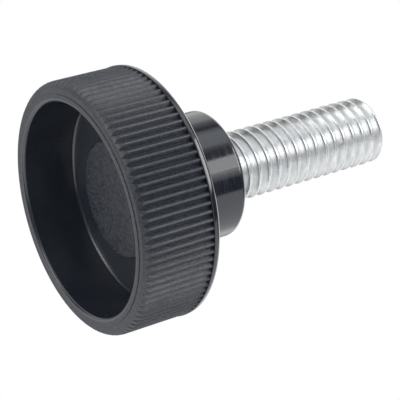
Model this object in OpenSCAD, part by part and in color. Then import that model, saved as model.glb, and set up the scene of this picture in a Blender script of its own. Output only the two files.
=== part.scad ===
// Knurled knob with a moulded-in threaded stud.
// The head is a shallow cup, open at the front, with a straight knurl round its rim.
// A hub stands on the back of the head and holds the stud, which leaves it along +Z.
// Origin: centre of the open rim. The rim's lip lies on the plane z = 0.

/* [Head] */
// Diameter over the ridges of the knurl
head_d = 21; // [20:0.1:32]
// Thickness of the rim wall at its open edge, measured to the knurl's crests
rim_wall = 1.63; // [1.2:0.01:2.4]
// Depth of the cup from the lip to its floor
cup_depth = 4.8; // [3.5:0.1:9]
// Thickness of the web between the cup floor and the back of the head
web = 2.1; // [1.6:0.1:4]
// Taper of the cup wall, in degrees, so that the head leaves its mould
cup_draft = 1.5; // [0:0.1:3]
// Radius of the corner between the cup wall and its floor
cup_corner_r = 0.3; // [0.1:0.05:0.8]

/* [Rim] */
// Radius of the round on the outer front edge
rim_round_r = 0.75; // [0.4:0.05:1]
// Radius of the round on the inner edge of the lip
lip_round_r = 0.28; // [0.1:0.02:0.4]
// Width of the flat lip, from the wall of the cup to the step
lip_w = 0.72; // [0.5:0.02:0.8]
// Height of the small step between the lip and the rounded edge
lip_step = 0.06; // [0.02:0.01:0.2]

/* [Knurl] */
// Number of ridges
knurl_count = 96; // [60:1:120]
// Depth of the grooves below the ridges
knurl_depth = 0.36; // [0.15:0.01:0.5]
// Height that is cut off each ridge's sharp edge, which leaves its crest narrow and flat
crest_cut = 0.05; // [0.02:0.01:0.1]
// Width of the plain band behind the knurl
band_w = 0.6; // [0.4:0.05:1.5]
// Height of the band above the knurl's crests
band_rise = 0.06; // [0:0.01:0.3]
// Radius of the round on the back edge of the band
band_round_r = 0.3; // [0.05:0.05:0.35]

/* [Pad] */
// Diameter of the raised pad on the cup floor
pad_d = 9.9; // [6:0.1:12]
// Height of the pad above the cup floor
pad_h = 1.15; // [0.4:0.05:2]
// Radius of the round on the pad's edge
pad_round_r = 0.2; // [0.05:0.05:0.35]

/* [Hub] */
// Diameter of the hub
hub_d = 10.8; // [10:0.1:15]
// Height of the hub above the back of the head
hub_h = 5.8; // [4.5:0.1:12]
// Radius of the round on the hub's free edge
hub_round_r = 0.2; // [0.05:0.05:0.6]
// Radius of the fillet between the hub and the back of the head
hub_fillet_r = 0.4; // [0.1:0.05:1]

/* [Stud] */
// Outer diameter of the stud's thread
stud_d = 6; // [4:0.1:7]
// Depth of the thread, which is also how far the neck inside the hub is turned down
thread_h = 0.61; // [0.3:0.01:0.8]
// Length of the cone inside the hub that runs from the neck out to the thread's outer diameter
run_out_len = 0.6; // [0.3:0.05:1]
// Length of the stud that stands out of the hub
stud_len = 16.5; // [8:0.5:50]
// Length of the chamfer on the stud's free end
stud_chamfer = 0.4; // [0.1:0.05:0.8]

/* [Anchor] */
// Thickness of moulding left round the anchor, inside the hub
anchor_cover_side = 1.4; // [1.2:0.1:1.8]
// Thickness of moulding between the pad's face and the anchor
anchor_cover_front = 1.5; // [1:0.1:3]
// Thickness of moulding between the anchor and the hub's free face
anchor_cover_back = 2.6; // [1:0.1:3]
// Number of teeth on the anchor
anchor_teeth = 24; // [12:1:36]
// Depth of the anchor's teeth and of the groove round it
anchor_tooth_h = 0.5; // [0.2:0.05:0.6]
// Width of the groove round the middle of the anchor
anchor_groove_w = 1; // [0.5:0.1:1.2]

/* [Hidden] */
$fn = 128;

// Steps in each rounded edge of a turned profile
arc_steps = 6;
// How far a cutting shape runs past the face that it cuts
past = 1;

head_r = head_d / 2;
band_r = head_r + band_rise;
head_h = cup_depth + web;
knurl_len = head_h - band_w;
cup_r = head_r - rim_wall;
cup_floor_r = cup_r - cup_depth * tan(cup_draft);
lip_outer_r = cup_r + lip_w;
pad_r = pad_d / 2;
pad_z = cup_depth - pad_h;
hub_r = hub_d / 2;
hub_z = head_h + hub_h;
hub_root_z = head_h - web / 2;
stud_r = stud_d / 2;
neck_r = stud_r - thread_h;
stud_z = hub_z + stud_len;
anchor_r = hub_r - anchor_cover_side;
anchor_z = pad_z + anchor_cover_front;
anchor_len = hub_z - anchor_cover_back - anchor_z;

// Points of a round of radius r about (x, y), from one angle to another
function arc(x, y, r, from, to) =
    [for (i = [0 : arc_steps]) let (a = from + (to - from) * i / arc_steps)
        [x + r * cos(a), y + r * sin(a)]];

// Points of a ring of teeth: a tip and a root in turn
function toothed(count, tip_r, root_r) =
    [for (i = [0 : 2 * count - 1]) let (r = i % 2 == 0 ? tip_r : root_r, a = 180 * i / count)
        [r * cos(a), r * sin(a)]];

// Half section of the head's outside, with the lip, its step and both rounded edges
module head_section() {
    polygon(concat(
        [[0, 0], [lip_outer_r, 0], [lip_outer_r, lip_step]],
        arc(head_r - rim_round_r, lip_step + rim_round_r, rim_round_r, -90, 0),
        [[head_r, knurl_len], [band_r, knurl_len]],
        arc(band_r - band_round_r, head_h - band_round_r, band_round_r, 0, 90),
        [[0, head_h]]
    ));
}

// Half section of the hollow cup, which leaves the pad standing on the floor
module cup_section() {
    polygon(concat(
        [[0, -past], [cup_r + lip_round_r, -past]],
        arc(cup_r + lip_round_r, lip_round_r, lip_round_r, 270, 180),
        arc(cup_floor_r - cup_corner_r, cup_depth - cup_corner_r, cup_corner_r, 0, 90),
        [[pad_r, cup_depth]],
        arc(pad_r - pad_round_r, pad_z + pad_round_r, pad_round_r, 0, -90),
        [[0, pad_z]]
    ));
}

// Half section of the hub, with the fillet that runs out on the back of the head
module hub_section() {
    polygon(concat(
        [[0, hub_root_z], [hub_r + hub_fillet_r, hub_root_z]],
        arc(hub_r + hub_fillet_r, head_h + hub_fillet_r, hub_fillet_r, 270, 180),
        arc(hub_r - hub_round_r, hub_z - hub_round_r, hub_round_r, 0, 90),
        [[0, hub_z]]
    ));
}

// Everything that the knurl leaves: ridges in front, the plain band behind them
module knurl_envelope() {
    translate([0, 0, -past])
        linear_extrude(height = knurl_len + past)
            polygon(toothed(knurl_count, head_r + crest_cut, head_r - knurl_depth));
    translate([0, 0, knurl_len])
        cylinder(r = band_r + past, h = band_w + past);
}

// The stud's inner end: two toothed rings stop it turning, and the groove between them stops it pulling out
module anchor() {
    ring_h = (anchor_len - anchor_groove_w) / 2;
    for (z = [anchor_z, anchor_z + ring_h + anchor_groove_w])
        translate([0, 0, z])
            linear_extrude(height = ring_h)
                polygon(toothed(anchor_teeth, anchor_r, anchor_r - anchor_tooth_h));
    translate([0, 0, anchor_z])
        cylinder(r = anchor_r - anchor_tooth_h, h = anchor_len);
}

// The plain neck inside the hub, with the cone where the thread runs out on it just under the hub's face
module neck() {
    neck_z = anchor_z + anchor_len / 2;
    translate([0, 0, neck_z])
        cylinder(r = neck_r, h = hub_z - neck_z);
    translate([0, 0, hub_z - run_out_len])
        cylinder(r1 = neck_r, r2 = stud_r, h = run_out_len);
}

// The threaded length outside the hub, drawn plain at the thread's outer diameter
module threaded_length() {
    translate([0, 0, hub_z])
        cylinder(r = stud_r, h = stud_len - stud_chamfer);
    translate([0, 0, stud_z - stud_chamfer])
        cylinder(r1 = stud_r, r2 = stud_r - stud_chamfer, h = stud_chamfer);
}

// One moulding: knurled cup-shaped head, pad and hub, closed round the stud's inner end
module knob_body() {
    color("#1d1e21")
        difference() {
            union() {
                intersection() {
                    rotate_extrude() head_section();
                    knurl_envelope();
                }
                rotate_extrude() hub_section();
            }
            rotate_extrude() cup_section();
            anchor();
            neck();
        }
}

// Zinc-plated steel stud: anchor and neck inside the hub, threaded length outside it
module threaded_stud() {
    color("#c9ccd0")
        union() {
            anchor();
            neck();
            threaded_length();
        }
}

knob_body();
threaded_stud();
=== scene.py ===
"""Looks of the knurled knob: a moulded black head and hub with a rolled, zinc-plated stud.

Every length is in millimetres in the classes below and becomes metres when a mesh is made. The knob's width
and height come from the frame. It stands on the lip of its open head: z = 0 is the lip, and the stud leaves
the hub along +Z. A ridge lies on +X.
"""

import logging
import math
from dataclasses import dataclass, field
from enum import Enum

import bpy
import numpy as np
from mathutils import Matrix, Vector

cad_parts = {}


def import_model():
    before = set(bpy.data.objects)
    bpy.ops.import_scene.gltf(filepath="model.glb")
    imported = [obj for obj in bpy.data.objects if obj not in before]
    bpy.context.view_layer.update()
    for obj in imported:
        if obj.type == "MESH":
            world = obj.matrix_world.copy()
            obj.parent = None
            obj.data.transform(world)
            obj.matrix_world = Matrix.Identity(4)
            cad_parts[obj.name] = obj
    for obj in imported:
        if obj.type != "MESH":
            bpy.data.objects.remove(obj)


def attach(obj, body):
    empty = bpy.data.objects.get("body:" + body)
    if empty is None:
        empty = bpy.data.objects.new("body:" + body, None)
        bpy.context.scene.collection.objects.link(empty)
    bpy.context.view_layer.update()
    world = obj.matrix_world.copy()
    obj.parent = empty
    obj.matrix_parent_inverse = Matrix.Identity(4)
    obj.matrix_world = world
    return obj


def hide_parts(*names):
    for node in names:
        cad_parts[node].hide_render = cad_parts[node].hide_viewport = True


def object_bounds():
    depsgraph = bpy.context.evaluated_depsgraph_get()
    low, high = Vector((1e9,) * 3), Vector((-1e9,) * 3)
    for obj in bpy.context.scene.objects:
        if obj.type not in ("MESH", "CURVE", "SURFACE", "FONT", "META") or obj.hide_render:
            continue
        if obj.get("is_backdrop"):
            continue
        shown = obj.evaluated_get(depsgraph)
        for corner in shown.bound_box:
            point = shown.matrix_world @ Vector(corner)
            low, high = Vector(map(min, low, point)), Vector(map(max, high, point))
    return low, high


# Metres in a millimetre
MM = 0.001
# The one body, on which every piece rides
BODY = "root"
# Points on the same cell of this size become one
MERGE_MM = 0.0002
# Distance from the end of a straight run to the point that keeps its shading flat
SUPPORT_MM = 0.03
# Height on the axis of the point that lamps and cards look at
MIDDLE_MM = 12.0
# A colour, a direction, a place or three shares
Triple = tuple[float, float, float]
Socket = bpy.types.NodeSocket
log = logging.getLogger("knob")


class Zone(Enum):
    """The moulding's finishes, in the order of its material slots."""

    KNURL = 0
    BAND = 1
    CUP = 2
    PAD = 3
    HUB = 4


class Side(Enum):
    """Which rays a studio surface answers."""

    GLOSS_ONLY = "gloss"
    CAMERA_ONLY = "camera"


# ---------------------------------------------------------------- profiles and skins


def arc(centre_r: float, centre_z: float, radius: float, start: float, end: float, steps: int) -> np.ndarray:
    """A round in the (r, z) plane: centre plus radius times (cosine, sine) of the angle.

    Args:
        centre_r: distance of the centre from the axis, in mm.
        centre_z: height of the centre, in mm.
        radius: radius of the round, in mm.
        start: first angle, in degrees from +r towards +z.
        end: last angle, in degrees.
        steps: number of equal steps.

    Returns:
        The steps + 1 points, one (r, z) row each.
    """
    turn = np.radians(np.linspace(start, end, steps + 1))
    return np.stack([centre_r + radius * np.cos(turn), centre_z + radius * np.sin(turn)], axis=1)


def firm(profile: np.ndarray, gap: float = SUPPORT_MM, run: float = 0.25) -> np.ndarray:
    """Adds a point just inside both ends of every long straight run: each end moved along the run by the gap.
    So a flat face shades flat right up to its rounds.

    Args:
        profile: rows of (r, z), in mm.
        gap: distance of the new points from the ends, in mm.
        run: shortest run that gets them, in mm.

    Returns:
        The profile with the added rows.
    """
    step = np.diff(profile, axis=0)
    length = np.linalg.norm(step, axis=1)[:, None]
    inset = step / length * gap
    rows = np.stack([profile[:-1], profile[:-1] + inset, profile[1:] - inset], axis=1)
    keep = np.broadcast_to(length > run, (len(length), 3)) | [True, False, False]
    return np.vstack([rows[keep], profile[-1:]])


def revolve(profile: np.ndarray, columns: int) -> np.ndarray:
    """Turns a profile about Z: x = r cos(angle), y = r sin(angle), z kept.

    Args:
        profile: rows of (r, z), in mm.
        columns: number of equal steps round the axis.

    Returns:
        An array of points, profile rows by columns by 3.
    """
    turn = np.arange(columns) * (2 * np.pi / columns)
    r, z = profile[:, :1], profile[:, 1:]
    return np.stack([r * np.cos(turn), r * np.sin(turn), np.broadcast_to(z, (len(profile), columns))], axis=2)


class Skin:
    """Points and faces of one closed mesh, gathered patch by patch. Faces point outwards where a profile
    runs outwards along a face that looks down, and upwards along a wall that looks away from the axis."""

    def __init__(self) -> None:
        """Starts with no points and no faces."""
        self.points: list[np.ndarray] = []
        self.faces: list[np.ndarray] = []
        self.zones: list[int] = []
        self.count = 0

    def _store(self, points: np.ndarray) -> np.ndarray:
        """Adds points and numbers them on from the last ones.

        Args:
            points: an array of any layout whose last axis is x, y and z.

        Returns:
            The points' numbers in the same layout.
        """
        flat = points.reshape(-1, 3)
        numbers = np.arange(self.count, self.count + len(flat)).reshape(points.shape[:-1])
        self.points.append(flat)
        self.count += len(flat)
        return numbers

    def _add(self, faces: np.ndarray, zone: Zone | None) -> None:
        """Adds faces, one row of point numbers each, all in one zone."""
        self.faces.append(faces)
        self.zones.append(zone.value if zone else 0)

    def sleeve(self, grid: np.ndarray, zone: Zone | None = None) -> None:
        """Joins each row of a grid to the next with quads, closed round the axis.

        Args:
            grid: points, rows by columns by 3, columns counted anticlockwise about +Z.
            zone: the finish of these faces.
        """
        n = self._store(grid)
        m = np.roll(n, -1, axis=1)
        quads = np.stack([n[:-1], m[:-1], m[1:], n[1:]], axis=-1).reshape(-1, 4)
        self._add(quads, zone)

    def washer(self, first: np.ndarray, second: np.ndarray, zone: Zone | None = None) -> None:
        """Fills the flat ring between a fine and a coarse circle, with one many-sided face for each coarse
        step.

        Args:
            first: the ring that the profile meets first, columns by 3.
            second: the next ring. One of the two has a whole multiple of the other's columns.
            zone: the finish of these faces.
        """
        a, b = self._store(first), self._store(second)
        ahead, behind = self._spans(a, min(len(a), len(b))), self._spans(b, min(len(a), len(b)))
        self._add(np.concatenate([ahead, behind[:, ::-1]], axis=1), zone)

    @staticmethod
    def _spans(ring: np.ndarray, coarse: int) -> np.ndarray:
        """Cuts a closed ring of point numbers into runs that share their ends.

        Args:
            ring: the numbers, in order round the ring.
            coarse: how many runs to make.

        Returns:
            One run a row.
        """
        step = len(ring) // coarse
        starts = np.arange(coarse)[:, None] * step
        return ring[(starts + np.arange(step + 1)) % len(ring)]

    def cap(self, ring: np.ndarray, upwards: bool, zone: Zone | None = None) -> None:
        """Closes a ring with a fan of triangles to its middle.

        Args:
            ring: the last ring, columns by 3, all at one height.
            upwards: True where the cap looks along +Z.
            zone: the finish of these faces.
        """
        n = self._store(ring)
        middle = self._store(np.array([[0.0, 0.0, float(ring[0, 2])]]))
        m = np.roll(n, -1)
        hub = np.full_like(n, middle[0])
        self._add(np.stack([n, m, hub] if upwards else [hub, m, n], axis=1), zone)

    def piece(self, name: str, crease_deg: float, materials: list[bpy.types.Material]) -> bpy.types.Object:
        """Makes the object: points in metres, doubles merged, smooth but for creases.

        Args:
            name: the piece's name.
            crease_deg: edges that turn by more than this stay sharp.
            materials: the finishes, in the order of the zones.

        Returns:
            The new object, linked to the scene, with its place in its mesh.
        """
        points = np.concatenate(self.points)
        keys = np.round(points / MERGE_MM).astype(np.int64)
        _, keep, merged = np.unique(keys, axis=0, return_index=True, return_inverse=True)
        merged = merged.reshape(-1)
        loops, starts, slots, total = [], [], [], 0
        for faces, zone in zip(self.faces, self.zones):
            loops.append(merged[faces].reshape(-1))
            starts.append(total + np.arange(len(faces)) * faces.shape[1])
            slots.append(np.full(len(faces), zone))
            total += faces.size
        mesh = bpy.data.meshes.new(name)
        mesh.vertices.add(len(keep))
        mesh.vertices.foreach_set("co", (points[keep] * MM).astype(np.float32).reshape(-1))
        mesh.loops.add(total)
        mesh.loops.foreach_set("vertex_index", np.concatenate(loops).astype(np.int32))
        mesh.polygons.add(sum(len(s) for s in starts))
        mesh.polygons.foreach_set("loop_start", np.concatenate(starts).astype(np.int32))
        mesh.polygons.foreach_set("material_index", np.concatenate(slots).astype(np.int32))
        mesh.update(calc_edges=True)
        mesh.validate()
        mesh.shade_smooth()
        mesh.set_sharp_from_angle(angle=math.radians(crease_deg))
        for material in materials:
            mesh.materials.append(material)
        thing = bpy.data.objects.new(name, mesh)
        bpy.context.scene.collection.objects.link(thing)
        return thing


# ---------------------------------------------------------------- finishes


class Graph:
    """A short hand for one node tree."""

    def __init__(self, tree: bpy.types.NodeTree, output: str) -> None:
        """Empties the tree and gives it an output.

        Args:
            tree: the node tree of a material or a world.
            output: the output node's type.
        """
        self.tree = tree
        self.tree.nodes.clear()
        self.output = self.add(output)

    def add(self, kind: str, **settings: object) -> bpy.types.Node:
        """Adds a node.

        Args:
            kind: the node's type.
            settings: its properties, by name.

        Returns:
            The node.
        """
        node = self.tree.nodes.new(kind)
        for key, value in settings.items():
            setattr(node, key, value)
        return node

    def link(self, source: Socket, target: Socket) -> None:
        """Joins an output to an input."""
        self.tree.links.new(source, target)

    def maths(self, operation: str, *values: object) -> Socket:
        """One sum of numbers or sockets.

        Args:
            operation: the Math node's operation.
            values: its inputs, in order, each a number or a socket.

        Returns:
            The result's socket.
        """
        node = self.add("ShaderNodeMath", operation=operation)
        for socket, value in zip(node.inputs, values):
            if isinstance(value, Socket):
                self.link(value, socket)
            else:
                socket.default_value = value
        return node.outputs[0]

    def mix(self, share: Socket, first: bpy.types.Node, second: bpy.types.Node) -> None:
        """Sends a mix of two shaders to the output.

        Args:
            share: the second one's share, from 0 to 1.
            first: a shader.
            second: another shader.
        """
        mix = self.add("ShaderNodeMixShader")
        self.link(share, mix.inputs["Fac"])
        self.link(first.outputs[0], mix.inputs[1])
        self.link(second.outputs[0], mix.inputs[2])
        self.link(mix.outputs["Shader"], self.output.inputs["Surface"])


class Surface(Graph):
    """One material: a Principled shader with patterns on object coordinates."""

    def __init__(self, name: str) -> None:
        """Makes the material.

        Args:
            name: the material's name.
        """
        self.material = bpy.data.materials.new(name)
        self.material.use_nodes = True
        super().__init__(self.material.node_tree, "ShaderNodeOutputMaterial")
        self.shader = self.add("ShaderNodeBsdfPrincipled")
        self.link(self.shader.outputs["BSDF"], self.output.inputs["Surface"])
        self.place = self.add("ShaderNodeTexCoord").outputs["Object"]

    def plain(self, colour: Triple, roughness: float, shine: float) -> None:
        """Gives the surface one colour, roughness and specular level all over.

        Args:
            colour: the colour.
            roughness: the roughness.
            shine: the specular level.
        """
        self.shader.inputs["Base Color"].default_value = (*colour, 1)
        self.shader.inputs["Roughness"].default_value = roughness
        self.shader.inputs["Specular IOR Level"].default_value = shine

    def noise(self, cell_mm: float, detail: float = 2.0) -> Socket:
        """Noise from 0 to 1 on object coordinates.

        Args:
            cell_mm: size of one patch of the noise.
            detail: number of finer layers.

        Returns:
            The noise's value.
        """
        mapping = self.add("ShaderNodeMapping")
        mapping.inputs["Scale"].default_value = [1 / (cell_mm * MM)] * 3
        self.link(self.place, mapping.inputs["Vector"])
        return self.noise_at(mapping.outputs["Vector"], detail)

    def noise_at(self, place: Socket, detail: float) -> Socket:
        """Noise from 0 to 1 whose patches are one unit in size.

        Args:
            place: where in the noise each point of the surface lies.
            detail: number of finer layers.

        Returns:
            The noise's value.
        """
        texture = self.add("ShaderNodeTexNoise")
        texture.inputs["Scale"].default_value = 1.0
        texture.inputs["Detail"].default_value = detail
        self.link(place, texture.inputs["Vector"])
        return texture.outputs["Fac"]

    def spread(self, value: Socket, low: float, high: float, start: float = 0.3, end: float = 0.7) -> Socket:
        """Turns one range of values into another, in a straight line that is held at both ends.

        Args:
            value: the value to turn.
            low: the result where the value is at start.
            high: the result where the value is at end.
            start: the value at which the line begins.
            end: the value at which the line stops.

        Returns:
            The result's socket.
        """
        node = self.add("ShaderNodeMapRange", clamp=True)
        for key, number in (("From Min", start), ("From Max", end), ("To Min", low), ("To Max", high)):
            node.inputs[key].default_value = number
        self.link(value, node.inputs["Value"])
        return node.outputs["Result"]

    def tint(self, value: Socket, dark: Triple, light: Triple) -> Socket:
        """A colour between two, reached at 0.3 and 0.7 of a value from 0 to 1.

        Args:
            value: the value.
            dark: the colour at its low end.
            light: the colour at its high end.

        Returns:
            The colour.
        """
        ramp = self.add("ShaderNodeValToRGB")
        ramp.color_ramp.elements[0].position, ramp.color_ramp.elements[1].position = 0.3, 0.7
        ramp.color_ramp.elements[0].color, ramp.color_ramp.elements[1].color = (*dark, 1), (*light, 1)
        self.link(value, ramp.inputs["Fac"])
        return ramp.outputs["Color"]

    def bump(self, height: Socket, depth_mm: float, under: Socket | None = None) -> Socket:
        """A bump of a stated depth.

        Args:
            height: the pattern, from 0 to 1.
            depth_mm: how deep it is from 0 to 1.
            under: the normal that it lies on, or None for the bare surface.

        Returns:
            The bumped normal.
        """
        node = self.add("ShaderNodeBump")
        node.inputs["Strength"].default_value = 1.0
        node.inputs["Distance"].default_value = depth_mm * MM
        self.link(height, node.inputs["Height"])
        if under is not None:
            self.link(under, node.inputs["Normal"])
        return node.outputs["Normal"]

    def split_place(self) -> tuple[Socket, Socket, Socket]:
        """The place on the surface.

        Returns:
            Its x, y and z in metres.
        """
        split = self.add("ShaderNodeSeparateXYZ")
        self.link(self.place, split.inputs["Vector"])
        return tuple(split.outputs)

    def ring_place(self) -> tuple[Socket, Socket]:
        """The place on the surface, measured about the axis.

        Returns:
            Angle about the axis in radians, and height in metres.
        """
        x, y, z = self.split_place()
        return self.maths("ARCTAN2", y, x), z

    def wrapped(self, angle: Socket, across: Socket, cell_mm: float, round_scale: float) -> Socket:
        """Noise in fine lines that run round the axis: (cosine, sine) of the angle is coarse, and the
        distance across the lines is fine, so the pattern has no seam.

        Args:
            angle: angle about the axis, in radians.
            across: the coordinate across the lines, in metres.
            cell_mm: width of one line.
            round_scale: patches of the noise along one radian of the turn.

        Returns:
            The noise's value.
        """
        join = self.add("ShaderNodeCombineXYZ")
        self.link(self.maths("MULTIPLY", self.maths("COSINE", angle), round_scale), join.inputs["X"])
        self.link(self.maths("MULTIPLY", self.maths("SINE", angle), round_scale), join.inputs["Y"])
        self.link(self.maths("DIVIDE", across, cell_mm * MM), join.inputs["Z"])
        return self.noise_at(join.outputs["Vector"], detail=2.0)


@dataclass(frozen=True)
class MouldedFinish:
    """Black thermoplastic as one face of the mould leaves it.

    Attributes:
        name: the material's name.
        smooth: lowest roughness.
        rough: highest roughness.
        dark: the darker of its two blacks.
        light: the lighter of its two blacks.
        grain_mm: size of the grain.
        grain_depth_mm: depth of the grain.
        line_mm: width of the tool marks that run round the axis, or 0 for none.
        line_depth_mm: depth of the tool marks.
        line_scale: patches of the tool marks along one radian of the turn.
        cloud_mm: size of the wide clouds in the colour.
        fleck: how much of the colour follows the grain instead of the wide clouds, from 0 to 1.
        shine: the specular level.
        index: the refractive index.
    """

    name: str
    smooth: float
    rough: float
    dark: Triple = (0.0120, 0.0150, 0.0220)
    light: Triple = (0.0160, 0.0190, 0.0270)
    grain_mm: float = 0.3
    grain_depth_mm: float = 0.001
    line_mm: float = 0.0
    line_depth_mm: float = 0.0
    line_scale: float = 1.5
    cloud_mm: float = 2.5
    fleck: float = 0.2
    shine: float = 0.5
    index: float = 1.66

    def material(self) -> bpy.types.Material:
        """Builds the nodes: clouds and flecks for the colour, grain for the bump, and tool marks.

        The tool marks run round the axis and change both the bump and the roughness from ring to ring.

        Returns:
            The material.
        """
        g = Surface(self.name)
        grain = g.noise(self.grain_mm)
        clouds = g.maths("MULTIPLY", g.noise(self.cloud_mm), 1 - self.fleck)
        flecks = g.maths("MULTIPLY", g.spread(grain, low=0.2, high=0.8, start=0.4, end=0.62), self.fleck)
        shade = g.maths("ADD", clouds, flecks)
        g.link(g.tint(shade, self.dark, self.light), g.shader.inputs["Base Color"])
        normal = g.bump(grain, self.grain_depth_mm)
        patches = g.noise(self.grain_mm * 2)
        if self.line_mm:
            angle, height = g.ring_place()
            patches = g.wrapped(angle, height, self.line_mm, self.line_scale)
            normal = g.bump(patches, self.line_depth_mm, normal)
        roughness = g.spread(patches, self.smooth, self.rough, start=0.36, end=0.64)
        g.link(roughness, g.shader.inputs["Roughness"])
        g.link(normal, g.shader.inputs["Normal"])
        g.shader.inputs["IOR"].default_value = self.index
        g.shader.inputs["Specular IOR Level"].default_value = self.shine
        return g.material


@dataclass(frozen=True)
class ZincPlate:
    """Bright zinc plating on a rolled thread.

    Attributes:
        pitch_mm: pitch of the thread, which the rolling marks follow.
        phase_mm: height of the crest on +X, less whole pitches.
        name: the material's name.
        dull: the darker tone of the plating.
        bright: the lighter tone of the plating.
        smooth: lowest roughness.
        rough: highest roughness.
        crest_painted_shade: how bright the crest is painted beside the flanks, painted shade that dims its
            highlight.
        dark_line_painted_shade: how bright the two dark lines of painted shade beside the crest are.
        crest_wide: distance from the middle of the crest to where its painted shade starts to fade, in
            pitches.
        dark_line_place: distance of each painted dark line from the middle of the crest, in pitches, where
            the crest's painted shade ends.
        dark_line_wide: width over which a painted dark line fades, in pitches.
        gap_mm: size of the gaps in the painted dark lines.
        cloud_mm: size of the clouds in the plating's tone.
        patch_mm: size of the duller patches.
        mark_mm: width of the rolling marks.
        mark_depth_mm: depth of the rolling marks.
        mark_scale: patches of the rolling marks along one radian of the turn.
        dent_mm: size of the fine dents.
        dent_depth_mm: depth of the fine dents.
    """

    pitch_mm: float
    phase_mm: float
    name: str = "zinc_plate"
    dull: Triple = (0.68, 0.695, 0.70)
    bright: Triple = (0.78, 0.79, 0.795)
    smooth: float = 0.26
    rough: float = 0.38
    crest_painted_shade: float = 0.92
    dark_line_painted_shade: float = 0.82
    crest_wide: float = 0.057
    dark_line_place: float = 0.095
    dark_line_wide: float = 0.05
    gap_mm: float = 0.5
    cloud_mm: float = 0.9
    patch_mm: float = 0.35
    mark_mm: float = 0.05
    mark_depth_mm: float = 0.0015
    mark_scale: float = 2.0
    dent_mm: float = 0.24
    dent_depth_mm: float = 0.007

    def material(self) -> bpy.types.Material:
        """Builds the nodes: cloudy plating, fine rolling marks along the helix, and a crest painted darker,
        painted shade that dims its highlight, between two broken dark lines of painted shade.

        The distance from the crest is measured in pitches along the helix: (height less phase less pitch
        times the turn) over the pitch, less the nearest whole number.

        Returns:
            The material.
        """
        g = Surface(self.name)
        angle, height = g.ring_place()
        along = g.maths("SUBTRACT", height, g.maths("MULTIPLY", angle, self.pitch_mm * MM / (2 * math.pi)))
        turns = g.maths("DIVIDE", g.maths("SUBTRACT", along, self.phase_mm * MM), self.pitch_mm * MM)
        nearest = g.maths("FLOOR", g.maths("ADD", turns, 0.5))
        off_crest = g.maths("ABSOLUTE", g.maths("SUBTRACT", turns, nearest))
        # The crest is painted darker, painted shade that dims its highlight, and two dark lines of painted
        # shade, broken by gaps, run beside it.
        crest = g.spread(off_crest, self.crest_painted_shade, 1.0, self.crest_wide, self.dark_line_place)
        off_dark_line = g.maths("ABSOLUTE", g.maths("SUBTRACT", off_crest, self.dark_line_place))
        dark_lines = g.spread(off_dark_line, self.dark_line_painted_shade, 1.0, 0.0, self.dark_line_wide)
        gaps = g.spread(g.noise(self.gap_mm, detail=3.0), low=0.0, high=1.0, start=0.42, end=0.56)
        dark_lines = g.maths("MAXIMUM", dark_lines, gaps)
        tone = g.add("ShaderNodeMixRGB", blend_type="MULTIPLY")
        tone.inputs["Fac"].default_value = 1.0
        clouds = g.noise(self.cloud_mm, detail=3.0)
        g.link(g.tint(clouds, self.dull, self.bright), tone.inputs["Color1"])
        g.link(g.maths("MULTIPLY", crest, dark_lines), tone.inputs["Color2"])
        g.link(tone.outputs["Color"], g.shader.inputs["Base Color"])
        patches = g.noise(self.patch_mm, detail=3.0)
        g.link(g.spread(patches, self.smooth, self.rough), g.shader.inputs["Roughness"])
        marks = g.wrapped(angle, along, self.mark_mm, self.mark_scale)
        normal = g.bump(marks, self.mark_depth_mm)
        normal = g.bump(g.noise(self.dent_mm), self.dent_depth_mm, normal)
        g.link(normal, g.shader.inputs["Normal"])
        g.shader.inputs["Metallic"].default_value = 1.0
        return g.material


FINISHES = {
    Zone.KNURL: MouldedFinish(
        name="satin_knurl",
        smooth=0.40,
        rough=0.52,
        dark=(0.0070, 0.0110, 0.0200),
        light=(0.0260, 0.0310, 0.0420),
        grain_mm=0.17,
        grain_depth_mm=0.030,
        fleck=0.85,
    ),
    Zone.BAND: MouldedFinish(
        name="glossy_band",
        smooth=0.10,
        rough=0.16,
        grain_mm=0.25,
        line_mm=0.12,
        line_depth_mm=0.001,
    ),
    Zone.CUP: MouldedFinish(
        name="polished_cup",
        smooth=0.16,
        rough=0.26,
        dark=(0.0180, 0.0225, 0.0315),
        light=(0.0250, 0.0300, 0.0400),
        line_mm=0.25,
        line_depth_mm=0.0015,
    ),
    Zone.PAD: MouldedFinish(
        name="grained_pad",
        smooth=0.42,
        rough=0.60,
        dark=(0.0005, 0.0020, 0.0075),
        light=(0.0300, 0.0380, 0.0530),
        grain_mm=0.17,
        grain_depth_mm=0.04,
        fleck=0.7,
        shine=0.27,
    ),
    Zone.HUB: MouldedFinish(
        name="polished_hub",
        smooth=0.05,
        rough=0.17,
        line_mm=0.10,
        line_depth_mm=0.0015,
    ),
}


# ---------------------------------------------------------------- the moulding


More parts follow.
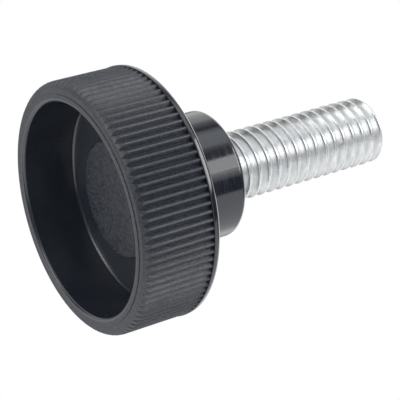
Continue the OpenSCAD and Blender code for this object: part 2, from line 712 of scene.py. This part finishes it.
@dataclass
class Knurl:
    """The straight knurl round the head: V grooves between narrow, softly rounded crests.

    Attributes:
        count: number of ridges.
        crest_r: radius of the crests.
        tip_r: radius at which two flanks would meet in a sharp tip.
        root_r: radius at which two flanks would meet in a sharp groove.
        crest_round: radius of the arc from a crest into its flank.
        root_round: radius of the groove's bottom.
        flank_inset: place of the two points inside a flank, as a share of it from either end.
    """

    count: int = 96
    crest_r: float = 10.5
    tip_r: float = 10.59
    root_r: float = 10.14
    crest_round: float = 0.14
    root_round: float = 0.012
    flank_inset: float = 0.12

    def half_tooth(self) -> np.ndarray:
        """Outline from the middle of a crest to the middle of the next groove.

        The sharp flank runs straight from the tip to the root. A small arc joins it to the crest circle and
        another to the groove's bottom, and each arc's tangent length is its radius times the tangent of half
        the angle that it turns through.

        Returns:
            Nine rows of (radius, angle in radians).
        """
        half = math.pi / self.count
        tip = np.array([self.tip_r, 0.0])
        root = self.root_r * np.array([math.cos(half), math.sin(half)])
        along = (root - tip) / np.linalg.norm(root - tip)
        lean = math.atan2(-along[0], along[1])
        reach = (self.tip_r - self.crest_r) / -along[0]
        corner = tip + along * reach
        crest_cut = self.crest_round * math.tan(lean / 2)
        crest_start = np.array([self.crest_r, corner[1] - crest_cut])
        crest_centre = crest_start - np.array([self.crest_round, 0.0])
        turns = lean * np.array([0.0, 0.5, 1.0])
        crest = crest_centre + self.crest_round * np.stack([np.cos(turns), np.sin(turns)], axis=1)
        open_angle = lean + half
        root_end = root - along * self.root_round * math.tan(open_angle)
        outward = np.array([along[1], -along[0]])
        root_centre = root_end + outward * self.root_round
        swings = np.pi + lean - open_angle * np.array([0.0, 0.5, 1.0])
        bottom = root_centre + self.root_round * np.stack([np.cos(swings), np.sin(swings)], axis=1)
        flank = crest[-1] + (bottom[0] - crest[-1]) * np.array([[self.flank_inset], [1 - self.flank_inset]])
        outline = np.vstack([[self.crest_r, 0.0], crest, flank, bottom])
        radius = np.hypot(outline[:, 0], outline[:, 1])
        return np.stack([radius, np.arctan2(outline[:, 1], outline[:, 0])], axis=1)

    def ring(self) -> tuple[np.ndarray, np.ndarray]:
        """The whole outline round the head.

        Returns:
            Radius and angle of each column, anticlockwise from the crest on +X.
        """
        half = self.half_tooth()
        step = 2 * math.pi / self.count
        back = half[1:-1][::-1] * [1, -1] + [0, step]
        tooth = np.vstack([half, back])
        angles = (np.arange(self.count)[:, None] * step + tooth[:, 1]).reshape(-1)
        return np.tile(tooth[:, 0], self.count), angles


@dataclass
class Moulding:
    """The one black moulding: head with its cup, pad and knurled rim, and the hub behind it.

    Heights (_z) are above the lip, radii (_r) are from the axis, and a round or fillet is its radius.

    Attributes:
        band_r: radius of the plain band, which is the knob's widest place.
        knurl: the ridges of the rim.
        pad_r, pad_z, pad_round, pad_foot: the raised pad, the round of its edge and the fillet at its foot.
        pad_middle_r: radius of the pad's innermost ring.
        cup_floor_z, cup_floor_r, cup_r, cup_corner: the cup's floor, its mouth and the corner between them.
        lip_round, lip_outer_r, lip_step, lip_edge: the lip inside and outside, and the step behind it.
        rim_round: the round on which the ridges begin.
        ridge_rings: heights of the rings that divide the straight ridges.
        knurl_top: where the ridges stop under the plain band.
        band_edge, band_round: the edge at the band's front and the round at its back.
        band_crown, band_front_deg, band_lean_deg: radius of its face, and how that leans at either end.
        band_back: width of the flat ring that starts the head's back.
        head_h: height of the head.
        hub_r, hub_z, hub_round, hub_fillet: the hub, the round of its free edge and the fillet at its foot.
        hub_foot: width of the flat ring outside that fillet.
        socket_r, socket_depth, socket_edge: the socket round the stud, and how near its edge the rings lie.
        columns: steps round the axis, apart from the ridges.
        crease_deg: edges that turn by more than this stay sharp.
    """

    band_r: float
    knurl: Knurl = field(default_factory=Knurl)
    pad_r: float = 4.95
    pad_z: float = 3.65
    pad_round: float = 0.2
    pad_foot: float = 0.15
    pad_middle_r: float = 0.6
    cup_floor_z: float = 4.8
    cup_floor_r: float = 8.744
    cup_r: float = 8.87
    cup_corner: float = 0.3
    lip_round: float = 0.28
    lip_outer_r: float = 9.53
    lip_step: float = 0.06
    lip_edge: float = 0.015
    rim_round: float = 0.75
    ridge_rings: tuple[float, float] = (2.4, 4.3)
    knurl_top: float = 6.26
    band_edge: float = 0.03
    band_round: float = 0.43
    band_crown: float = 1.8
    band_front_deg: float = 2.0
    band_lean_deg: float = 10.0
    band_back: float = 0.1075
    head_h: float = 6.9
    hub_r: float = 5.4
    hub_z: float = 12.90
    hub_round: float = 0.44
    hub_fillet: float = 0.4
    hub_foot: float = 0.5
    socket_r: float = 3.02
    socket_depth: float = 0.65
    socket_edge: float = 0.05
    columns: int = 384
    crease_deg: float = 32.0

    def pad_profile(self) -> np.ndarray:
        """From near the axis out along the pad's face, and round its edge.

        Returns:
            Rows of (r, z).
        """
        face = np.array([[self.pad_middle_r, self.pad_z]])
        edge_r, edge_z = self.pad_r - self.pad_round, self.pad_z + self.pad_round
        edge = arc(edge_r, edge_z, self.pad_round, -90, 0, steps=5)
        return np.vstack([face, edge])

    def cup_profile(self) -> np.ndarray:
        """From the pad's edge down its side, along the floor, and up the wall to the flat lip.

        Returns:
            Rows of (r, z).
        """
        edge = np.array([[self.pad_r, self.pad_z + self.pad_round]])
        foot_r, foot_z = self.pad_r + self.pad_foot, self.cup_floor_z - self.pad_foot
        foot = arc(foot_r, foot_z, self.pad_foot, 180, 90, steps=3)
        corner_r, corner_z = self.cup_floor_r - self.cup_corner, self.cup_floor_z - self.cup_corner
        corner = arc(corner_r, corner_z, self.cup_corner, 90, 0, steps=7)
        lip_r = self.cup_r + self.lip_round
        lip = arc(lip_r, self.lip_round, self.lip_round, 180, 270, steps=6)
        flat = np.array([[lip_r + SUPPORT_MM, 0]])
        return np.vstack([edge, foot, corner, lip, flat])

    def hub_profile(self) -> np.ndarray:
        """From the back of the head round the fillet, up the hub, over its edge, in along its face and down
        into the socket that the stud stands in.

        Returns:
            Rows of (r, z).
        """
        fillet_r, fillet_z = self.hub_r + self.hub_fillet, self.head_h + self.hub_fillet
        root = np.array([[fillet_r + self.hub_foot, self.head_h]])
        fillet = arc(fillet_r, fillet_z, self.hub_fillet, 270, 180, steps=6)
        edge_r, edge_z = self.hub_r - self.hub_round, self.hub_z - self.hub_round
        edge = arc(edge_r, edge_z, self.hub_round, 0, 90, steps=6)
        face = np.array([[self.socket_r + self.socket_edge, self.hub_z]])
        wall_z = self.hub_z - np.array([self.socket_edge, self.socket_depth])
        mouth = np.stack([np.full(2, self.socket_r), wall_z], axis=1)
        return np.vstack([root, fillet, edge, face, mouth])

    def band_profile(self) -> np.ndarray:
        """From the knurl's top over the plain band: a small edge, a crowned face of large radius that leans
        back more and more, the back round and a flat ring.

        Each arc starts on the last one's end, where it shares its direction, and the whole is moved so that
        its widest point has the band's radius and it ends at the head's back.

        Returns:
            Rows of (r, z).
        """
        lean = self.band_lean_deg
        front = arc(0, 0, self.band_edge, -90, self.band_front_deg, steps=3)
        crown = arc(0, 0, self.band_crown, self.band_front_deg, lean, steps=5)
        back = arc(0, 0, self.band_round, lean, 90, steps=8)
        crown += front[-1] - crown[0]
        back += crown[-1] - back[0]
        flat = back[-1:] - [self.band_back, 0]
        band = np.vstack([front, crown[1:], back[1:], flat])
        band += [self.band_r - band[:, 0].max(), self.head_h - band[-1, 1]]
        band[0] = [band[0, 0], self.knurl_top]
        return band

    def rim_grids(self) -> tuple[np.ndarray, np.ndarray]:
        """The outside of the head from the lip to its back, one column for each point of the knurl's outline.

        A column climbs the lip's step and the rounded edge until the edge is as wide as the knurl at that
        column. There the groove or crest begins, and it runs straight up to the plain band. The height where
        it begins is that of the round's centre, less its radius times the cosine of the angle whose sine is
        the width gained over the radius. All columns share the rings of the round up to the lowest such
        angle, and each divides what is left of it for itself.

        Returns:
            Two grids of points, rows by columns by 3: up to the knurl's top, and from there over the band.
        """
        radius, angle = self.knurl.ring()
        start_r = self.knurl.crest_r - self.rim_round
        start_z = self.lip_step + self.rim_round
        meet = np.arcsin(np.clip((radius - start_r) / self.rim_round, 0, 1))
        fifths = np.array([0, 0.2, 0.4, 0.6, 0.8, 1.0])[:, None]
        lowest = float(meet.min())
        shared = np.repeat(lowest * fifths, len(angle), axis=1)
        rising = lowest + (meet - lowest) * fifths[1:]
        climb = np.vstack([shared, rising])
        lip = np.array(
            [
                [self.lip_outer_r - self.lip_edge, 0],
                [self.lip_outer_r, self.lip_edge],
                [self.lip_outer_r, self.lip_step],
            ]
        )
        straight = np.array([*self.ridge_rings, self.knurl_top])[:, None]
        band = self.band_profile()
        flat = np.ones_like(angle)
        climb_r = start_r + self.rim_round * np.sin(climb)
        climb_z = start_z - self.rim_round * np.cos(climb)
        ridges_r = np.ones_like(straight) * radius
        r = np.vstack([lip[:, :1] * flat, climb_r, ridges_r, band[:, :1] * flat])
        z = np.vstack([lip[:, 1:] * flat, climb_z, straight * flat, band[:, 1:] * flat])
        grid = np.stack([r * np.cos(angle), r * np.sin(angle), z], axis=2)
        return grid[: -len(band)], grid[-len(band) - 1 :]

    def build(self) -> bpy.types.Object:
        """Joins the patches into one closed piece, dresses it and puts it on the frame.

        Returns:
            The finished piece.
        """
        skin = Skin()
        pad = revolve(firm(self.pad_profile()), self.columns)
        cup = revolve(firm(self.cup_profile()), self.columns)
        hub = revolve(firm(self.hub_profile()), self.columns)
        rim, band = self.rim_grids()
        skin.cap(pad[0], False, Zone.PAD)
        skin.sleeve(pad, Zone.PAD)
        skin.sleeve(cup, Zone.CUP)
        skin.washer(cup[-1], rim[0], Zone.KNURL)
        skin.sleeve(rim, Zone.KNURL)
        skin.sleeve(band, Zone.BAND)
        skin.washer(band[-1], hub[0], Zone.HUB)
        skin.sleeve(hub, Zone.HUB)
        skin.cap(hub[-1], True, Zone.HUB)
        piece = skin.piece("knob_moulding", self.crease_deg, [FINISHES[z].material() for z in Zone])
        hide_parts("knob_body")
        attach(piece, BODY)
        return piece


# ---------------------------------------------------------------- the stud


@dataclass
class Stud:
    """The zinc-plated stud: a right-hand rolled thread that runs out at the hub, with a chamfered end.

    Attributes:
        end_z: height of the free end.
        major_r: radius of the crests.
        thread_depth: depth of the thread.
        pitch: its pitch.
        crest_half: half the width of the flat on a crest.
        flank_deg: lean of the flanks from the radius.
        soften: length over which the running mean rounds the thread's corners.
        phase: height of the crest on +X, less whole pitches.
        foot_z: height of the hidden foot in the moulding.
        thread_z: height where the thread starts to rise from the plain foot.
        chamfer: width of the chamfer at the free end.
        run_out: height over which the thread reaches its full depth.
        foot_step: how far the plain foot lies inside the crests.
        face_rings: the rings of the end's face, as shares of its radius.
        samples: number of steps in the tooth's outline.
        rows_per_pitch: rings of the thread's surface in one pitch.
        columns: steps round the axis.
        crease_deg: edges that turn by more than this stay sharp.
    """

    end_z: float
    major_r: float = 2.95
    thread_depth: float = 0.61
    pitch: float = 1.0
    crest_half: float = 0.05
    flank_deg: float = 30.0
    soften: float = 0.05
    phase: float = 0.12
    foot_z: float = 12.1
    thread_z: float = 12.7
    chamfer: float = 0.2
    run_out: float = 1.2
    foot_step: float = 0.06
    face_rings: Triple = (1.0, 0.97, 0.5)
    samples: int = 512
    rows_per_pitch: int = 32
    columns: int = 128
    crease_deg: float = 60.0

    def tooth(self) -> np.ndarray:
        """Depth below the crest over one pitch: flat on the crest, then falling along the leaning flanks, no
        deeper than the thread, all softened by a running mean.

        Returns:
            One depth for each sample, the first at the middle of the crest.
        """
        place = np.arange(self.samples) / self.samples * self.pitch
        away = np.minimum(place, self.pitch - place)
        slope = 1 / math.tan(math.radians(self.flank_deg))
        depth = np.clip((away - self.crest_half) * slope, 0, self.thread_depth)
        width = max(1, round(self.soften / self.pitch * self.samples))
        window = np.hanning(width * 2 + 1)
        padded = np.concatenate([depth[-width:], depth, depth[:width]])
        return np.convolve(padded, window / window.sum(), mode="valid")

    def skin_grid(self) -> np.ndarray:
        """The thread as a surface over height and angle: its radius is the crests' radius less the tooth's
        depth at the height less the phase and the pitch times the turn. Over the run-out it fades in from the
        plain foot, by the weight 3 t squared less 2 t cubed, and the chamfer's cone cuts it at the end.

        Returns:
            Points, rows by columns by 3.
        """
        rows = round((self.end_z - self.foot_z) / self.pitch * self.rows_per_pitch)
        height = np.linspace(self.foot_z, self.end_z, rows + 1)[:, None]
        turn = (np.arange(self.columns) * (2 * np.pi / self.columns))[None, :]
        along = height - self.phase - self.pitch * turn / (2 * np.pi)
        place = np.mod(along, self.pitch) / self.pitch * self.samples
        tooth = self.tooth()
        depth = np.interp(place, np.arange(self.samples + 1), np.append(tooth, tooth[0]))
        fade = np.clip((height - self.thread_z) / self.run_out, 0, 1)
        fade = fade * fade * (3 - 2 * fade)
        radius = self.major_r - self.foot_step * (1 - fade) - depth * fade
        cone = self.major_r - self.chamfer + (self.end_z - height)
        radius = np.minimum(radius, cone)
        return np.stack([radius * np.cos(turn), radius * np.sin(turn), height * np.ones_like(turn)], axis=2)

    def build(self) -> bpy.types.Object:
        """Makes the closed stud, dresses it and puts it on the frame.

        Returns:
            The finished piece.
        """
        skin = Skin()
        grid = self.skin_grid()
        middle = np.array([0, 0, self.end_z])
        face = middle + (grid[-1] - middle) * np.array(self.face_rings)[:, None, None]
        skin.cap(grid[0], False)
        skin.sleeve(grid)
        skin.sleeve(face)
        skin.cap(face[-1], True)
        plate = ZincPlate(pitch_mm=self.pitch, phase_mm=self.phase)
        piece = skin.piece("rolled_stud", self.crease_deg, [plate.material()])
        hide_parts("threaded_stud")
        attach(piece, BODY)
        return piece


# ---------------------------------------------------------------- the studio


@dataclass
class SoftBox:
    """A rectangular soft lamp that looks at the knob.

    Attributes:
        name: the lamp's name.
        azimuth: degrees about +Z, from +X.
        elevation: degrees above the lip's plane.
        distance_mm: distance from the knob's middle.
        width_mm: size across, along the horizon.
        height_mm: size up and down.
        radiance: brightness of its face, where 1 is white.
        tone: its colour.
    """

    name: str
    azimuth: float
    elevation: float
    distance_mm: float
    width_mm: float
    height_mm: float
    radiance: float
    tone: Triple = (1, 1, 1)

    def build(self) -> bpy.types.Object:
        """Adds the lamp. Its power is pi times its area times its radiance.

        Returns:
            The lamp.
        """
        lamp = bpy.data.lights.new(self.name, "AREA")
        lamp.shape = "RECTANGLE"
        lamp.size, lamp.size_y = self.width_mm * MM, self.height_mm * MM
        lamp.energy = math.pi * lamp.size * lamp.size_y * self.radiance
        lamp.color = self.tone
        thing = bpy.data.objects.new(self.name, lamp)
        aim(thing, self.azimuth, self.elevation, self.distance_mm)
        thing.visible_camera = False
        bpy.context.scene.collection.objects.link(thing)
        return thing


def aim(thing: bpy.types.Object, azimuth: float, elevation: float, distance_mm: float) -> None:
    """Puts a thing on a sphere round the knob's middle, with its -Z towards the knob and its Y upwards.

    Args:
        thing: the object to place.
        azimuth: degrees about +Z, from +X.
        elevation: degrees above the lip's plane.
        distance_mm: radius of the sphere.
    """
    a, e = math.radians(azimuth), math.radians(elevation)
    out = Vector((math.cos(e) * math.cos(a), math.cos(e) * math.sin(a), math.sin(e)))
    place = Vector((0, 0, MIDDLE_MM)) * MM + out * distance_mm * MM
    thing.matrix_world = Matrix.LocRotScale(place, out.to_track_quat("Z", "Y"), None)


def limit(thing: bpy.types.Object, side: Side) -> None:
    """Lets only gloss or only the camera see a thing, and lets every lamp shine past it.

    Args:
        thing: the studio surface.
        side: which rays see it.
    """
    thing.visible_camera = side is Side.CAMERA_ONLY
    thing.visible_glossy = side is Side.GLOSS_ONLY
    thing.visible_diffuse = False
    thing.visible_transmission = False
    thing.visible_shadow = False


@dataclass
class Card:
    """A flat dark card that faces the knob, whose edges fade where they are soft.

    Attributes:
        name: the card's name.
        azimuth: degrees about +Z, from +X.
        elevation: degrees above the lip's plane.
        wide_deg: how wide it looks from the knob.
        tall_deg: how tall it looks from the knob.
        shade: how much of the light behind it the card stops.
        fade_before: degrees over which its edge on the side of smaller azimuths fades.
        fade_after: degrees over which its edge on the side of larger azimuths fades.
        fade_ends: degrees over which its upper and lower edges fade.
        distance_mm: distance from the knob's middle.
        black: its colour.
    """

    name: str
    azimuth: float
    elevation: float
    wide_deg: float
    tall_deg: float
    shade: float
    fade_before: float
    fade_after: float
    fade_ends: float = 3.0
    distance_mm: float = 300.0
    black: Triple = (0.004, 0.004, 0.004)

    def build(self) -> bpy.types.Object:
        """Makes the card: a black surface, mixed with a clear one towards its edges.

        Returns:
            The card.
        """
        x = self.distance_mm * MM * math.tan(math.radians(self.wide_deg / 2))
        y = self.distance_mm * MM * math.tan(math.radians(self.tall_deg / 2))
        mesh = bpy.data.meshes.new(self.name)
        mesh.from_pydata([(-x, -y, 0), (x, -y, 0), (x, y, 0), (-x, y, 0)], [], [(0, 1, 2, 3)])
        g = Surface(self.name)
        g.plain(self.black, roughness=1.0, shine=0.0)
        across, up, _ = g.split_place()
        before = g.spread(across, 0, 1, -x, 2 * x * self.fade_before / self.wide_deg - x)
        after = g.spread(across, 1, 0, x - 2 * x * self.fade_after / self.wide_deg, x)
        ends = g.spread(g.maths("ABSOLUTE", up), 1, 0, y - 2 * y * self.fade_ends / self.tall_deg, y)
        cover = g.maths("MULTIPLY", g.maths("MULTIPLY", before, after), g.maths("MULTIPLY", ends, self.shade))
        g.mix(cover, g.add("ShaderNodeBsdfTransparent"), g.shader)
        mesh.materials.append(g.material)
        card = bpy.data.objects.new(self.name, mesh)
        bpy.context.scene.collection.objects.link(card)
        aim(card, self.azimuth, self.elevation, self.distance_mm)
        card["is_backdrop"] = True
        return card


@dataclass
class Studio:
    """White surroundings, soft lamps, dark cards that only the gloss sees, and a pale floor.

    Attributes:
        light_level: how bright the surroundings are for the light that they cast, where 1 is white.
        floor_r: radius of the floor.
        floor_gap: distance of the floor below the lip.
        floor_tone: colour of the floor.
        floor_rings: rings of its mesh from the rim inwards, as shares of its radius.
        floor_fade: where the floor starts and ends to fade into the white, as shares of its radius.
        lamps: the soft lamps.
        cards: the dark cards.
    """

    light_level: float = 0.65
    floor_r: float = 90.0
    floor_gap: float = 0.02
    floor_tone: Triple = (0.92, 0.92, 0.92)
    floor_rings: Triple = (1.0, 0.5, 1 / 18)
    floor_fade: tuple[float, float] = (0.35, 0.95)
    lamps: list[SoftBox] = field(
        default_factory=lambda: [
            # name, azimuth, elevation, distance, width, height, radiance and, where it isn't white, tone
            SoftBox("key_box", -99.5, 24, 400, 138, 200, 2.45),
            SoftBox("key_edge_box", -86, 24, 402, 50, 200, 0.8),
            SoftBox("key_top_box", -96.5, 48, 404, 310, 140, 4.9),
            SoftBox("low_left_box", -5, -54, 400, 300, 240, 0.5),
            SoftBox("low_right_box", -161, -64, 400, 260, 200, 3.0),
            SoftBox("far_left_box", 60, 34, 400, 320, 330, 0.3),
            SoftBox("back_top_box", 89, 66, 400, 600, 330, 0.9),
            SoftBox("left_box", 5, 30, 400, 900, 560, 0.15, (0.8, 1.0, 1.1)),
            SoftBox("mid_box", -149, 35, 400, 170, 400, 0.42, (0.8, 1.0, 1.15)),
            SoftBox("right_box", -220, 38, 400, 330, 340, 0.36),
        ]
    )
    cards: list[Card] = field(
        default_factory=lambda: [
            # name, azimuth, elevation, width, height, shade and the fades before, after and at the ends
            Card("card_low", -62, 43, 28, 34, 1.0, 6, 3),
            Card("card_low_foot", -54, 17, 26, 20, 0.8, 8, 6),
            Card("card_mid", -125, 24, 22.6, 26, 0.85, 11, 2),
            Card("card_high", -182, 42, 26, 44, 0.85, 18, 5),
            Card("card_end", -217, -39, 34, 36, 0.95, 8, 8, 8),
            Card("card_top", -90, 75, 80, 36, 0.95, 8, 8, 6),
            Card("card_far", 89, 8, 76, 66, 0.6, 15, 15, 12),
            Card("card_under", -91, -42, 50, 70, 0.9, 8, 8, 8),
            Card("card_below", -91, -90, 54, 54, 0.9, 8, 8, 8),
        ]
    )

    def world(self) -> None:
        """White for what the camera, gloss and clear surfaces see, softer for the light on the knob."""
        world = bpy.data.worlds.new("white_room")
        world.use_nodes = True
        g = Graph(world.node_tree, "ShaderNodeOutputWorld")
        ray = g.add("ShaderNodeLightPath").outputs
        seen = g.maths("MAXIMUM", ray["Is Camera Ray"], ray["Is Glossy Ray"])
        seen = g.maths("MAXIMUM", seen, ray["Is Transmission Ray"])
        cast, white = g.add("ShaderNodeBackground"), g.add("ShaderNodeBackground")
        for background, strength in ((cast, self.light_level), (white, 1.0)):
            background.inputs["Color"].default_value = (1, 1, 1, 1)
            background.inputs["Strength"].default_value = strength
        g.mix(seen, cast, white)
        bpy.context.scene.world = world

    def floor(self) -> bpy.types.Object:
        """A round pale floor just under the lip. It shows from above only, and fades into the white.

        Returns:
            The floor.
        """
        skin = Skin()
        rings = np.array([[self.floor_r * share, -self.floor_gap] for share in self.floor_rings])
        grid = revolve(rings, columns=64)
        skin.sleeve(grid)
        skin.cap(grid[-1], True)
        g = Surface("pale_floor")
        g.plain(self.floor_tone, roughness=0.9, shine=0.1)
        x, y, _ = g.split_place()
        squares = g.maths("ADD", g.maths("MULTIPLY", x, x), g.maths("MULTIPLY", y, y))
        distance = g.maths("SQRT", squares)
        start, end = (self.floor_r * share * MM for share in self.floor_fade)
        fade = g.spread(distance, 0, 1, start, end)
        under = g.add("ShaderNodeNewGeometry").outputs["Backfacing"]
        g.mix(g.maths("MAXIMUM", fade, under), g.shader, g.add("ShaderNodeBsdfTransparent"))
        floor = skin.piece("floor", crease_deg=60.0, materials=[g.material])
        limit(floor, Side.CAMERA_ONLY)
        floor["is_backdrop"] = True
        return floor

    def build(self) -> None:
        """Sets up the world, the floor, the lamps and the cards."""
        self.world()
        self.floor()
        for lamp in self.lamps:
            lamp.build()
        for card in self.cards:
            limit(card.build(), Side.GLOSS_ONLY)


@dataclass
class Viewpoint:
    """The camera: where it stands, which way it looks and how it is turned.

    Attributes:
        place_mm: its place.
        ahead: the direction that it looks in.
        above: the direction that is up in its picture.
        lens_mm: focal length on the sensor below.
        sensor_mm: width of the square picture on the sensor.
        near_mm: nearest distance that it shows.
        far_mm: farthest distance that it shows.
    """

    place_mm: Triple = (-1.790, -118.553, -56.567)
    ahead: Triple = (0.027176, 0.867698, 0.496349)
    above: Triple = (-0.963405, -0.109725, 0.244565)
    lens_mm: float = 147.954
    sensor_mm: float = 36.0
    near_mm: float = 10.0
    far_mm: float = 10000.0

    def build(self) -> bpy.types.Object:
        """Adds the camera and makes it the scene's own.

        Returns:
            The camera.
        """
        data = bpy.data.cameras.new("camera")
        data.lens, data.sensor_width = self.lens_mm, self.sensor_mm
        data.clip_start, data.clip_end = self.near_mm * MM, self.far_mm * MM
        back = -Vector(self.ahead).normalized()
        up = Vector(self.above)
        up = (up - back * up.dot(back)).normalized()
        turn = Matrix((up.cross(back), up, back)).transposed()
        camera = bpy.data.objects.new("camera", data)
        camera.matrix_world = Matrix.Translation(Vector(self.place_mm) * MM) @ turn.to_4x4()
        bpy.context.scene.collection.objects.link(camera)
        bpy.context.scene.camera = camera
        return camera


def main() -> None:
    """Builds the knob, the studio and the camera round the frame, whose box gives the knob's size."""
    logging.basicConfig(level=logging.INFO, format="%(message)s")
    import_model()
    cad_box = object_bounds()
    widest, _, top = (place / MM for place in cad_box[1])
    for maker in (Moulding(band_r=widest), Stud(end_z=top)):
        piece = maker.build()
        log.info("%s: %d faces", piece.name, len(piece.data.polygons))
    Studio().build()
    Viewpoint().build()
    bpy.context.scene.view_settings.view_transform = "Standard"
    bpy.context.view_layer.update()


if __name__ == "__main__":
    main()
